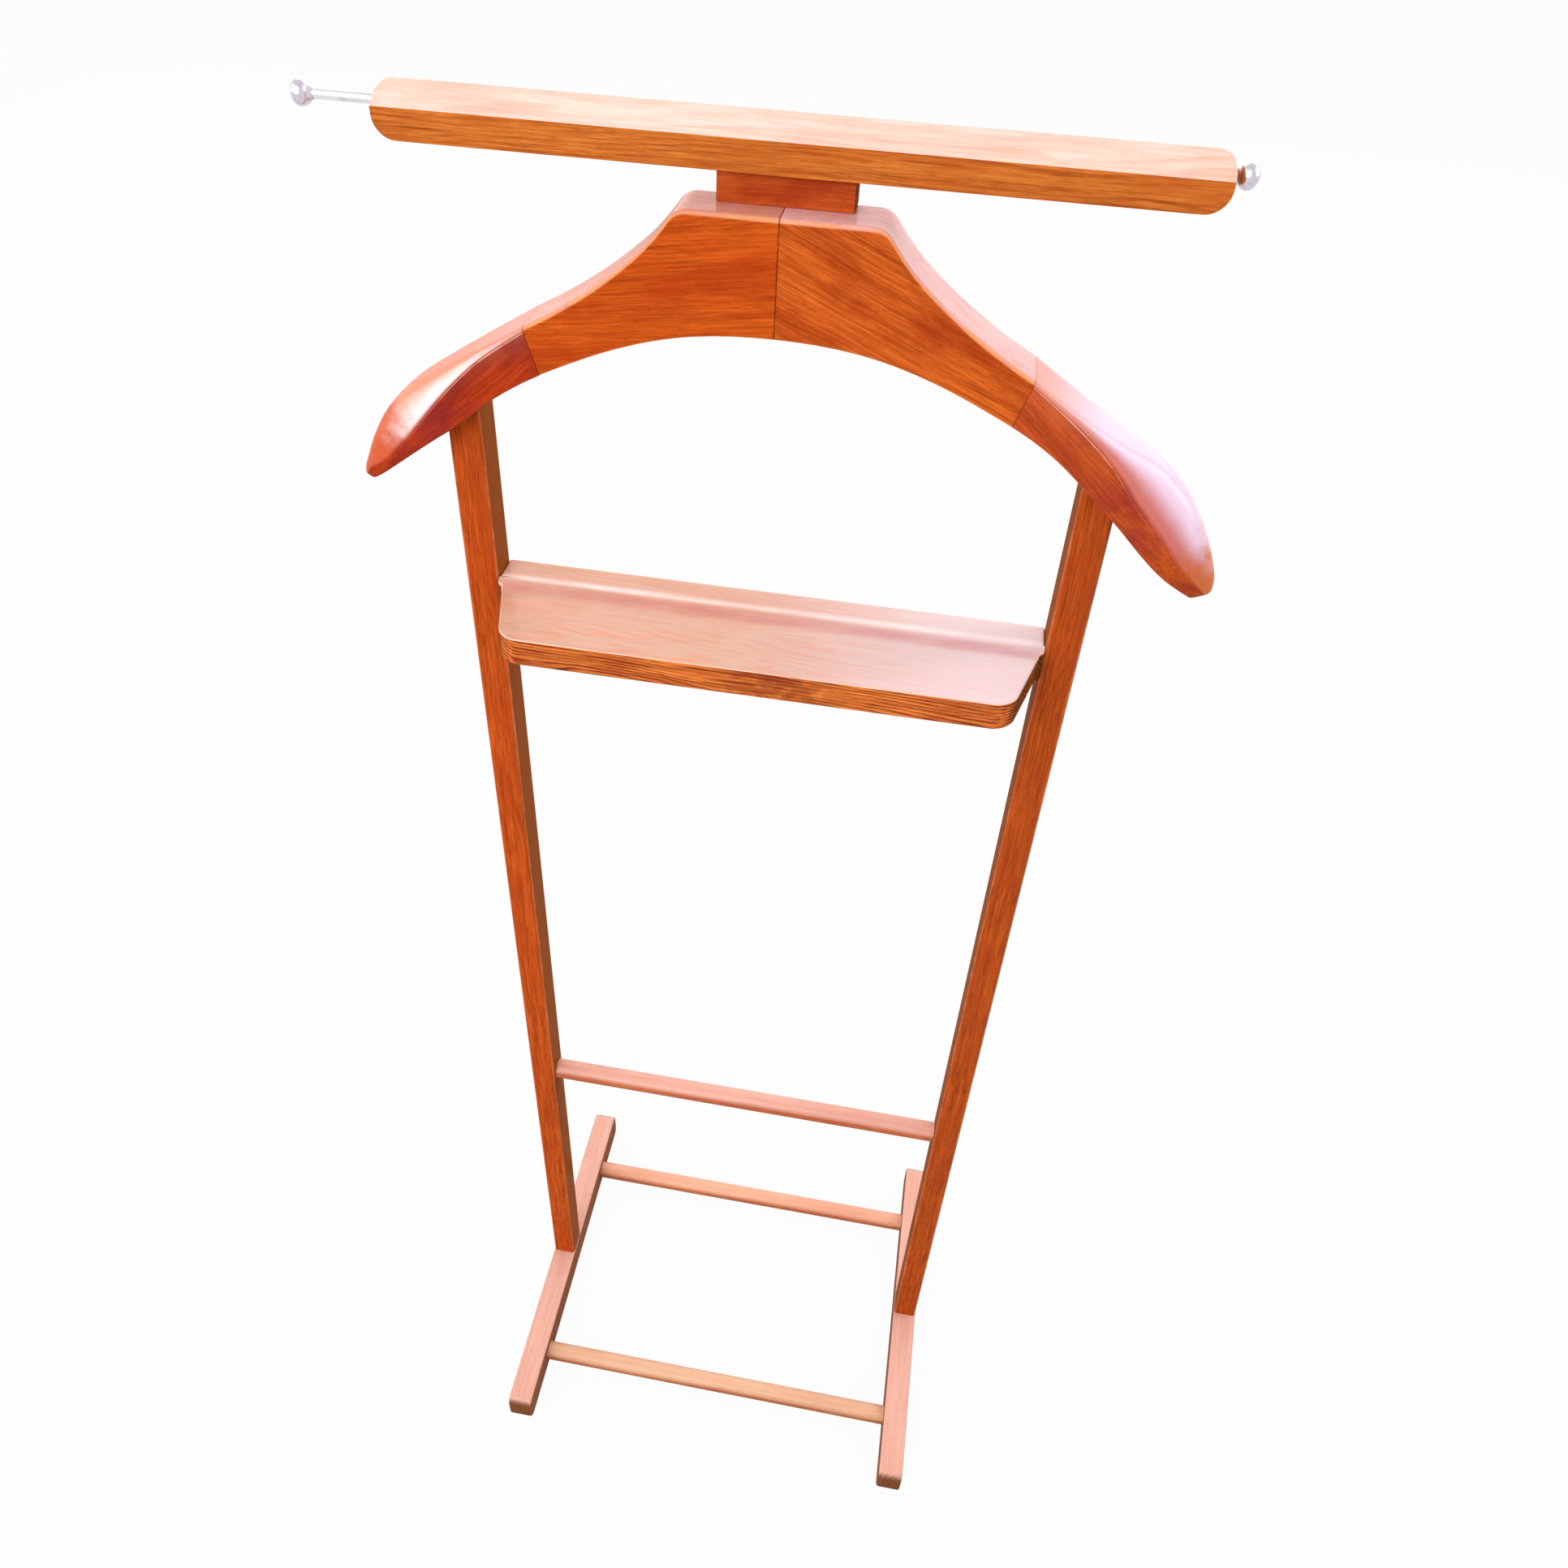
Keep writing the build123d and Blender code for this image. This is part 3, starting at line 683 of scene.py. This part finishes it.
# Each board's grain is slanted by its own angle; its tones are ground, veins, patches and painted top
# reflection.
for side, way, slant, tones in (
        ("left", -1, -8, ((214, 93, 26), (124, 35, 5), (178, 58, 14), (215, 159, 142))),
        ("right", 1, 24, ((222, 105, 36), (125, 38, 9), (160, 49, 14), (234, 194, 196)))):
    node = f"hanger_centre_{side}"
    piece = draw_out(centre_rings, way, centre_marks)
    screws_low, screws_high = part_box("neck_screws")
    screw_x = way * (screws_high.x - neck_screw_head / 2)
    screw_y = (screws_low.y + screws_high.y) / 2
    at_head = Vector((screw_x, screw_y, screws_low.z))
    bore(piece, at_head - Vector((0, 0, neck_screw_reach)), at_head, neck_screw_head)
    node_low, node_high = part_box(node)
    ground, vein, patch, sheen_and_wear_tone = tones
    finish = stained_wood(
        f"{node}_stain", (node_low + node_high) / 2, (0, slant, 0), ground, vein, patch, sheen_and_wear_tone,
        pith=(80, 70 * way), ring_gap=2.8, rings=0.2, fibres=0.8, patching=0.75, gloss=0.35, rub_and_highlight=0)
    glued_rubbed_and_highlit(finish, sheen_and_wear_tone=(236, 150, 96))
    fit(piece, node, finish)


# The hanger's two arms: thicker blocks doweled to the centre pieces on a slanted joint and carved by hand
# to a broad round shoulder, so the two differ a little. A crease starts as the front edge and fades before
# the tip. They are dark red in front and glossier above, where a pale highlight and reflection are painted
# over the crown.
last_station = 7
station_gap = 22.0

# Each station is bottom x, top x, top z, front y, back y, drop of the crease, width of the crown in front
# of the top line, radius of the round back, and how steeply the crown leaves the crease, in degrees.
arm_stations = {
    "left": [
        (119.0, 126.5, 997.5, -25.5, 6.5, 2.5, 2.5, 2.5, 90),
        (141.0, 153.0, 981.0, -25.5, 10.5, 4.5, 6.0, 6.0, 72),
        (160.0, 176.0, 966.5, -25.5, 14.0, 10.0, 13.0, 11.0, 60),
        (178.0, 195.5, 953.5, -25.5, 15.5, 16.5, 20.0, 16.0, 56),
        (194.0, 212.5, 936.5, -24.0, 15.0, 18.5, 19.0, 16.0, 58),
        (208.0, 223.5, 918.5, -19.5, 13.0, 15.0, 15.0, 12.0, 68),
        (220.5, 230.0, 903.5, -12.5, 9.0, 8.0, 10.0, 8.0, 80),
        (229.0, 233.6, 892.5, -6.5, 5.0, 3.2, 5.0, 4.0, 86)],
    "right": [
        (119.0, 126.5, 997.5, -25.5, 6.5, 2.5, 2.5, 2.5, 90),
        (141.0, 153.0, 980.0, -25.5, 10.5, 4.5, 6.0, 6.0, 72),
        (160.0, 177.0, 965.5, -25.5, 14.0, 10.0, 13.0, 11.0, 60),
        (178.0, 198.5, 952.5, -25.5, 15.5, 19.0, 20.0, 16.0, 58),
        (196.0, 217.0, 934.0, -24.0, 15.0, 21.0, 19.0, 16.0, 60),
        (209.5, 231.0, 911.0, -19.5, 13.0, 18.0, 15.0, 12.0, 70),
        (221.0, 239.0, 892.0, -12.5, 9.0, 13.0, 10.0, 8.0, 80),
        (230.5, 239.8, 881.0, -6.5, 5.0, 7.0, 5.0, 4.0, 86)]}
rings_per_station = 6
crown_points = 14
back_points = 9
crown_reach = 0.42
crease_curve = (0.36, 0.1)
crease_softness = (0.5, 4.5)
crease_share = 0.4
crease_end = 5.0
crown_start = 0.06
arm_slope = 42
tip_rounding = ((6.72, 0.98), (6.84, 0.9), (6.93, 0.74), (6.98, 0.5), (7.0, 0.22))


def arm_station(side, number):
    """The station at any number from 0 to the last, on a smooth curve through the given ones."""
    base = min(int(number), last_station - 1)
    t = number - base
    before, first, second, after = [arm_stations[side][min(max(base + k, 0), last_station)]
                                    for k in (-1, 0, 1, 2)]
    return [0.5 * (2 * b + (c - a) * t + (2 * a - 5 * b + 4 * c - d) * t * t
                   + (3 * b - a - 3 * c + d) * t ** 3)
            for a, b, c, d in zip(before, first, second, after)]


def arm_ring(side, number, scale=1.0, shrink=0.0):
    """One slice across the arm, flat below and in front, round over the top and behind, in millimetres."""
    bottom_x, top_x, top_z, front, back, drop, crown_width, back_radius, lean = arm_station(side, number)
    low, high = Vector((bottom_x, 0, underside(side, bottom_x))), Vector((top_x, 0, top_z))
    height = (high - low).length
    rise = (high - low) / height
    deep = Vector((0, 1, 0))
    share = number / last_station
    soft = min(crease_softness[0] + (crease_softness[1] - crease_softness[0]) * share ** 4,
               drop * crease_share)
    crease = low + rise * (height - drop) + deep * front
    crown = high + deep * (front + crown_width)
    first_way = rise * sin(radians(lean)) + deep * cos(radians(lean))
    far, near = crease_curve
    rounding = [crease - rise * soft,
                crease - rise * soft * far + first_way * soft * near,
                crease + first_way * soft * far - rise * soft * near,
                crease + first_way * soft]
    reach = (crown - crease).length * crown_reach
    handles = rounding[-1], crease + first_way * (soft + reach), crown - deep * reach, crown
    arc = []
    for step in range(1, crown_points):
        t = step / crown_points
        weights = (1 - t) ** 3, 3 * t * (1 - t) ** 2, 3 * t * t * (1 - t), t ** 3
        arc.append(sum((handle * weight for handle, weight in zip(handles, weights)), Vector()))
    round_middle = high - rise * back_radius + deep * (back - back_radius)
    turns = [pi / 2 * step / (back_points - 1) for step in range(back_points)]
    over = [round_middle + rise * back_radius * cos(turn) + deep * back_radius * sin(turn)
            for turn in turns]
    ring = (quarter(low + deep * back, -deep, rise, lower_edge_radius)[::-1]
            + quarter(low + deep * front, rise, deep, lower_edge_radius)[::-1]
            + rounding + arc + [crown] + over)
    middle = sum(ring, Vector()) / len(ring)
    inset = 1 - shrink / (height / 2)
    return [middle + (spot - middle) * scale * inset for spot in ring]


ring_places = [(0, 1.0, arm_groove)]
ring_places += [(distance / station_gap, 1.0, 0.0) for distance in (arm_groove, glue_line)]
ring_places += [(step / rings_per_station, 1.0, 0.0)
                for step in range(1, int(tip_rounding[0][0] * rings_per_station) + 1)]
ring_places += [(number, scale, 0.0) for number, scale in tip_rounding]
crown_mark = ([0.0] * (2 * corner_points) + [crown_start * step / 3 for step in range(4)]
              + [crown_start + (1 - crown_start) * step / crown_points
                 for step in range(1, crown_points + 1)]
              + [1.0] * back_points)
edge_mark = ([0.0] * corner_points + [0.5 * share for share in over_corner] + [0.3, 1.0, 1.0, 0.3]
             + [0.0] * (crown_points + back_points))
arm_marks = {
    "crown": [crown_mark for place in ring_places],
    "edge": [[share * max(0, 1 - place[0] / crease_end) for share in edge_mark] for place in ring_places],
    "seam": [[1.0 if number < 2 else 0.0] * len(crown_mark) for number, place in enumerate(ring_places)],
    "reach": [[place[0] / last_station] * len(crown_mark) for place in ring_places]}

# Each arm has the reach over which its tip tone takes over from the painted highlight, the ground, veins
# and patches of its stain, and its painted highlight by the crease, painted reflection on top and tip tone.
for side, way, tip_start, stains, highlight_tones in (
        ("left", -1, (0.6, 0.84), ((188, 64, 24), (108, 24, 8), (132, 36, 24)),
         ((255, 240, 238), (232, 150, 122), (218, 98, 50))),
        ("right", 1, (0.76, 1.0), ((212, 93, 38), (124, 41, 13), (160, 56, 33)),
         ((208, 118, 110), (240, 216, 240), (228, 122, 54)))):
    node = f"hanger_arm_{side}"
    piece = draw_out([arm_ring(side, *place) for place in ring_places], way, arm_marks)
    node_low, node_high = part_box(node)
    ground, vein, patch = stains
    by_crease, on_top, tip = highlight_tones
    finish = stained_wood(
        f"{node}_stain", (node_low + node_high) / 2, (0, arm_slope * way, 0), ground, vein, patch,
        sheen_and_wear_tone=on_top, pith=(70, 50), ring_gap=3.0, rings=0.15, fibres=0.8, patching=0.85, top_sheen=0.1, rub_and_highlight=0)
    shader = glued_rubbed_and_highlit(finish, sheen_and_wear_tone=(240, 172, 150))
    stained = Tint(shader.inputs["Base Color"].links[0].from_socket)
    crown = stained.node("Attribute", {"attribute_name": "crown"}, output="Fac")
    reach = stained.node("Attribute", {"attribute_name": "reach"}, output="Fac")
    patchy = figure(stained.node("TexCoord", output="Object"), (0.02, 0.02, 0.012), 4)
    _, forwards, upwards = stained.node("NewGeometry", output="Normal").parts()
    # The crown above the crease gets a painted highlight and reflection, and a glossier coat.
    crown_sheen = crown.between(0.05, 0.16) * (upwards - forwards).between(0.05, 0.45)
    toward_tip = (reach + 0.3 * patchy).between(*tip_start)
    purple = reach.between(0.15, 0.42) * (1 - reach.between(0.5, 0.7)) * patchy.between(0.35, 0.6)
    colour = (purple * 0.6).mixed(stained, stain(142, 38, 42))
    # Painted highlight by the crease and reflection on top, blended near the joint, giving way at the tip.
    above = (crown + 0.2 * patchy).between(0.28, 0.7).mixed(stain(*by_crease), stain(*on_top))
    above = reach.between(0.0, 0.25).mixed(stain(222, 152, 134), above)
    above = toward_tip.mixed(above, stained)
    above = (toward_tip * 0.7).mixed(above, stain(*tip))
    colour = (crown_sheen * (0.92 - 0.2 * patchy)).mixed(colour, above)
    lay_on(shader, Base_Color=colour, Coat_Weight=lacquer_coat + 0.4 * crown_sheen)
    fit(piece, node, finish)


# The neck block: a small squared block between the hanger and the bar, with two long screws through it. Its
# front is bare stained wood, redder than the rest.
block_easing = 0.9 * mm
block_low, block_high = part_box("neck_block")
blank(block_low, block_high)
ease_sharp(block_easing)
piece = off_the_bench()
finish = stained_wood(
    "neck_block_stain", (block_low + block_high) / 2, (0, 0, 0), ground=(206, 94, 38), vein=(130, 42, 18),
    patch=(150, 46, 18), sheen_and_wear_tone=(216, 150, 120), pith=(40, -40), ring_gap=2.4, patching=0.7)
fit(piece, "neck_block", finish)


# The trouser bar: a five-sided bar with a roof-shaped top, its ends rounded off and its edges just eased,
# bored from end to end for the tie rod. Lighter than the rest, with fine open pores, and a pale painted
# reflection on its roof.
bar_lower_height = 14.5 * mm
bar_top_corner = 8 * mm
bar_bottom_corner = 11 * mm
bar_corner_steps = 10
bar_easing = 0.7 * mm
bar_sharpness = radians(30)
rod_clearance = 0.1 * mm
bar_low, bar_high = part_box("trouser_bar")
bar_middle = (bar_low + bar_high) / 2
crease_z = bar_low.z + bar_lower_height
rod_low, rod_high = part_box("tie_rod")
bore_diameter = rod_high.z - rod_low.z + 2 * rod_clearance

blank(bar_low, bar_high)
score(bar_middle, (0, 1, 0))
pick("VERT", lambda corner, normal: corner.z > bar_high.z - mm / 10 and abs(corner.y - bar_middle.y) > mm)
bpy.ops.transform.translate(value=(0, 0, crease_z - bar_high.z))
bar = off_the_bench()
blank(bar_low - Vector((0, mm, 0)), bar_high + Vector((0, mm, 0)))
pick("EDGE", lambda middle, run: abs(run.y) > 0.9 and middle.z > bar_middle.z)
ease(bar_top_corner, bar_corner_steps)
pick("EDGE", lambda middle, run: abs(run.y) > 0.9 and middle.z < bar_low.z + mm / 10
     and abs(middle.x) > bar_high.x - mm / 10)
ease(bar_bottom_corner, bar_corner_steps)
combine(bar, off_the_bench(), "INTERSECT")
soften = bar.modifiers.new("soften", "BEVEL")
soften.width = bar_easing
soften.segments = edge_steps
soften.limit_method = "ANGLE"
soften.angle_limit = bar_sharpness
bpy.ops.object.modifier_apply(modifier=soften.name)
bore(bar, (bar_low.x - mm, bar_middle.y, crease_z), (bar_high.x + mm, bar_middle.y, crease_z),
     bore_diameter)
finish = stained_wood(
    "trouser_bar_stain", bar_middle, (0, 0, 0), ground=(218, 124, 52), vein=(146, 64, 20),
    patch=(186, 88, 30), sheen_and_wear_tone=(246, 220, 208), pith=(30, -60), ring_gap=2.6, rings=0.5, fibres=0.9,
    top_sheen=0.92, end=(206, 128, 66), rub_and_highlight=0)
fit(bar, "trouser_bar", finish)


# The tie rod and its two knobs: a bright steel rod that slides through the bar, its ends turned down to
# stubs, and on each stub a slightly flattened ball on a short cone-shaped neck. Plated once, now a little
# dull and lilac.
rod_stub_diameter = 3.4 * mm
rod_stub_length = 6 * mm
knob_neck_length = 1.1 * mm
knob_neck_diameter = 7.6 * mm
knob_neck_taper = 1.0 * mm
knob_sides = 64
knob_rings = 40
rod_sides = 48


def plated_steel(name, tone, dull, roughness):
    """Plated steel with cloudy dull patches and fine scratches."""
    material, shader, spot = start_finish(name)
    place = spot.node("Mapping", {"vector_type": "TEXTURE"}, {"Vector": spot, "Scale": (mm, mm, mm)})
    haze = figure(place, (5, 5, 5), 4, 0.7).between(0.4, 0.7)
    scratch = figure(place, (14, 0.25, 0.25), 2).between(0.5, 0.75)
    relief = 1 - scratch * 0.5 - haze * 0.3
    bump = relief.node("Bump", {}, {"Height": relief, "Strength": 0.12, "Distance": 0.0001})
    lay_on(shader, Base_Color=(haze * 0.6).mixed(stain(*tone), stain(*dull)), Metallic=1.0,
           Roughness=roughness + 0.18 * haze + 0.08 * scratch, Normal=bump)
    return material


knob_steel = plated_steel("knob_plating", (214, 208, 218), (168, 160, 172), 0.2)
rod_steel = plated_steel("rod_plating", (226, 228, 224), (178, 182, 176), 0.22)

for side, way in (("left", -1), ("right", 1)):
    node = f"tie_rod_knob_{side}"
    knob_low, knob_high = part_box(node)
    knob_middle = (knob_low + knob_high) / 2
    diameter = knob_high.z - knob_low.z
    ball_length = knob_high.x - knob_low.x - knob_neck_length
    ball_middle = Vector((knob_middle.x + way * knob_neck_length / 2, knob_middle.y, knob_middle.z))
    bpy.ops.object.select_all(action="DESELECT")
    bpy.ops.mesh.primitive_uv_sphere_add(
        segments=knob_sides, ring_count=knob_rings, radius=diameter / 2, location=ball_middle,
        rotation=(0, way * pi / 2, 0), scale=(1, 1, ball_length / diameter))
    bpy.ops.object.transform_apply(location=True, rotation=True, scale=True)
    bpy.ops.object.mode_set(mode="EDIT")
    depth = ball_length / 2 * sqrt(1 - (knob_neck_diameter / diameter) ** 2)
    saw(ball_middle - Vector((way * depth, 0, 0)), (-way, 0, 0))
    pick("FACE", lambda middle, normal: normal.x * way < -0.999)
    bpy.ops.mesh.extrude_region_move(TRANSFORM_OT_translate={
        "value": (-way * (knob_neck_length + ball_length / 2 - depth), 0, 0)})
    narrowing = 1 - 2 * knob_neck_taper / knob_neck_diameter
    bpy.ops.transform.resize(value=(1, narrowing, narrowing))
    fit(off_the_bench(), node, knob_steel, body="sliding_rod")

rod_middle = (rod_low + rod_high) / 2
rod_diameter = rod_high.z - rod_low.z
dowel((rod_low.x + rod_stub_length, rod_middle.y, rod_middle.z),
      (rod_high.x - rod_stub_length, rod_middle.y, rod_middle.z), rod_diameter, sides=rod_sides)
pick("FACE", lambda middle, normal: abs(normal.x) > 0.9)
bpy.ops.mesh.inset(thickness=(rod_diameter - rod_stub_diameter) / 2, use_individual=True)
for way in (-1, 1):
    pick("FACE", lambda middle, normal: normal.x * way > 0.9
         and hypot(middle.y - rod_middle.y, middle.z - rod_middle.z) < mm / 10)
    bpy.ops.mesh.extrude_region_move(TRANSFORM_OT_translate={"value": (way * rod_stub_length, 0, 0)})
fit(off_the_bench(), "tie_rod", rod_steel, body="sliding_rod")


# The fixings: slotted steel screws, whose heads show only from below and from the sides, and beech dowels
# that stay inside the joints. They keep the shape that the frame gives them.
screw_steel = plated_steel("screw_steel", (170, 166, 158), (110, 104, 98), 0.34)
for node in ("foot_screws", "tray_screws", "neck_screws"):
    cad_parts[node].data.materials.clear()
    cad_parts[node].data.materials.append(screw_steel)
for node, turn in (("upright_dowels", (0, -90, 0)), ("centre_joint_dowels", (0, 0, 0)),
                   ("arm_joint_dowels", (0, arm_slope, 0))):
    node_low, node_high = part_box(node)
    finish = stained_wood(f"{node}_beech", (node_low + node_high) / 2, turn, ground=(214, 176, 130),
                          vein=(186, 142, 98), patch=(204, 164, 118), sheen_and_wear_tone=(222, 188, 146), rub_and_highlight=0)
    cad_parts[node].data.materials.clear()
    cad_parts[node].data.materials.append(finish)


# The studio: a white floor that shows as white and keeps a soft shadow, a pale even sky, soft lamps in
# front and at both sides, and a large bright screen behind, which the lacquered tops mirror.
floor_half = 30.0
floor_depth = 0.002
floor_tone = 0.5
sky_strength = 0.62
white_share = 0.96


def lamp(name, place, aim, width, height, watts):
    """A soft rectangular lamp at a place, turned to what it aims at."""
    light = bpy.data.lights.new(name, "AREA")
    light.shape = "RECTANGLE"
    light.size, light.size_y, light.energy = width, height, watts
    holder = bpy.data.objects.new(name, light)
    holder.location = place
    holder.rotation_euler = (Vector(aim) - Vector(place)).to_track_quat("-Z", "Y").to_euler()
    holder.visible_camera = False
    bpy.context.scene.collection.objects.link(holder)


lamp("front_lamp", (-0.9, -2.4, 2.2), (0, 0, 0.6), 2.4, 2.2, 60)
lamp("left_lamp", (-2.5, -0.3, 1.8), (0, 0, 0.8), 1.2, 1.6, 24)
lamp("right_lamp", (2.4, 0.5, 1.9), (0, 0, 0.8), 1.2, 1.6, 34)
lamp("back_screen", (0.0, 3.4, 2.6), (0, 0, 1.0), 6.0, 4.6, 110)

blank((-floor_half, -floor_half, -floor_depth), (floor_half, floor_half, 0))
floor = off_the_bench()
floor.name = "studio_floor"
floor_finish, floor_shader, floor_spot = start_finish("floor_white")
seen = floor_spot.node("LightPath", output="Is Camera Ray")
mirrored = floor_spot.node("LightPath", output="Is Glossy Ray")
through_glass = floor_spot.node("LightPath", output="Is Transmission Ray")
shown = seen.maths("MAXIMUM", seen.maths("MAXIMUM", seen, mirrored), through_glass)
lay_on(floor_shader, Base_Color=(floor_tone, floor_tone, floor_tone, 1), Roughness=1.0,
       Specular_IOR_Level=0.0)
glow = floor_spot.node("Emission", {}, {"Color": (1, 1, 1, 1), "Strength": 1.0})
blend = floor_spot.node("MixShader", {}, {0: shown * white_share, 2: glow})
floor_links = floor_finish.node_tree.links
floor_links.new(floor_shader.outputs[0], blend.socket.node.inputs[1])
floor_links.new(blend.socket, floor_finish.node_tree.nodes["Material Output"].inputs["Surface"])
floor.data.materials.append(floor_finish)

world = bpy.data.worlds.new("pale_sky")
bpy.context.scene.world = world
world.use_nodes = True
sky = world.node_tree.nodes["Background"]
path = Tint(world.node_tree.nodes.new("ShaderNodeLightPath").outputs["Is Camera Ray"])
sky_seen = path.maths("MAXIMUM", path, path.node("LightPath", output="Is Glossy Ray"))
sky_seen = sky_seen.maths("MAXIMUM", sky_seen, path.node("LightPath", output="Is Transmission Ray"))
lay_on(sky, Color=(1, 1, 1, 1), Strength=sky_strength + (1 - sky_strength) * sky_seen)

bpy.context.scene.view_settings.view_transform = "Standard"


# The camera stands where the photograph was taken: close above the front of the hanger, looking down at the
# feet, turned a little to the left and tilted.
image_side = 1932
focal_pixels = 1574.23
centre_pixel = (928.94, 910.56)
camera_place = Vector((83.19, -611.50, 1257.78)) * mm
yaw, pitch, roll = -0.1420, -0.7068, 0.0465
sensor = 36.0

ahead = Vector((sin(yaw) * cos(pitch), cos(yaw) * cos(pitch), sin(pitch)))
level = Vector((cos(yaw), -sin(yaw), 0))
overhead = level.cross(ahead)
camera_right = cos(roll) * level + sin(roll) * overhead
camera_up = -sin(roll) * level + cos(roll) * overhead
lens = bpy.data.cameras.new("photo_camera")
lens.sensor_width = sensor
lens.lens = focal_pixels * sensor / image_side
lens.shift_x = (image_side / 2 - centre_pixel[0]) / image_side
lens.shift_y = (centre_pixel[1] - image_side / 2) / image_side
camera = bpy.data.objects.new("photo_camera", lens)
camera.matrix_world = Matrix.Translation(camera_place) @ Matrix(
    (camera_right, camera_up, -ahead)).transposed().to_4x4()
bpy.context.scene.collection.objects.link(camera)
bpy.context.scene.camera = camera
